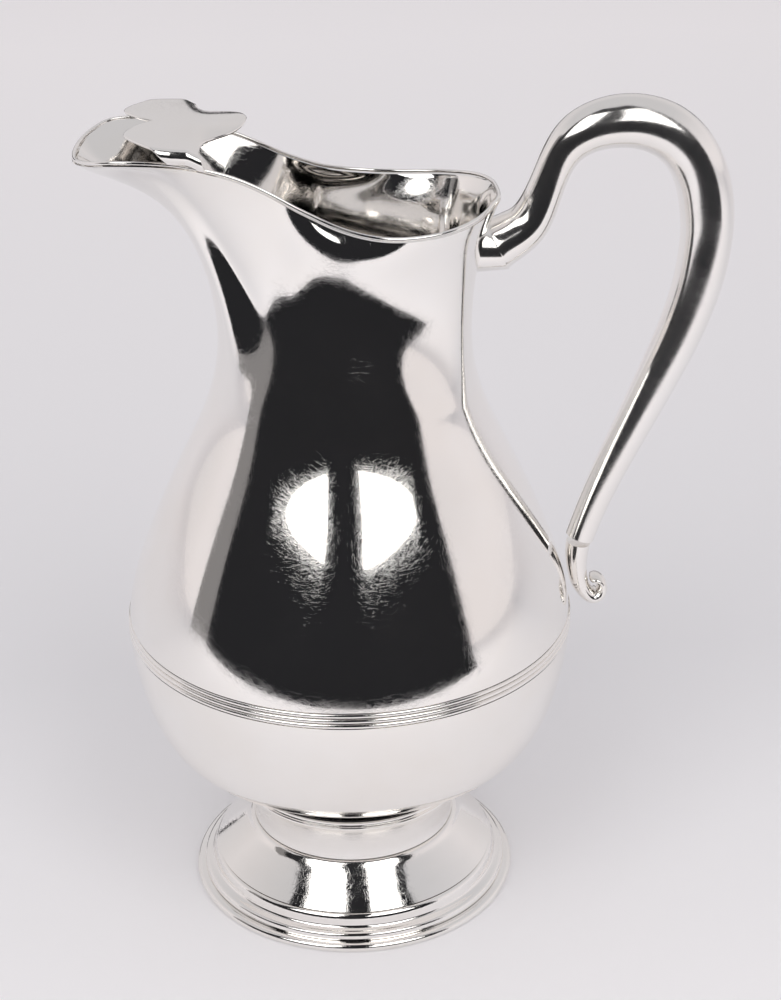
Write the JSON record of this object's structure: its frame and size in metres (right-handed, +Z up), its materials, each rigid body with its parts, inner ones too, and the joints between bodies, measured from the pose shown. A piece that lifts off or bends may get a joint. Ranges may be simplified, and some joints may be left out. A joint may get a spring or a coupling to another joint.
{
  "type": "water pitcher",
  "caption": "Polished silver water pitcher with a pulled spout under an ice guard, a reeded band round the belly, a hollow S-shaped handle and a stepped round foot.",
  "frame": {"origin": "centre of the bounding box at the height of the surface the foot stands on; the body's own axis is at x = -18.8 mm", "axes": "+Z up along the body's axis, +X towards the handle, -X towards the spout, the part is the same on both sides of y = 0"},
  "size_m": [0.185, 0.1336, 0.2478],
  "materials": {
    "body_silver": "mirror polished silver",
    "rim_silver": "polished silver wire",
    "guard_silver": "polished silver sheet",
    "reed_silver": "polished silver reeds",
    "socket_silver": "polished silver tube",
    "handle_silver": "slightly satin silver tube",
    "foot_silver": "mirror polished silver",
    "spool_silver": "silver with fine turning marks"
  },
  "bodies": {
    "root": {"body_shell": "body_silver", "rim_wire": "rim_silver", "ice_guard": "guard_silver", "reed_1": "reed_silver", "reed_2": "reed_silver", "reed_3": "reed_silver", "handle_socket": "socket_silver", "handle_tube": "handle_silver", "handle_scroll": "socket_silver", "foot_collar": "foot_silver", "foot_spool": "spool_silver", "foot_flare": "foot_silver", "foot_steps": "foot_silver", "foot_wire": "foot_silver"}
  },
  "joints": []
}
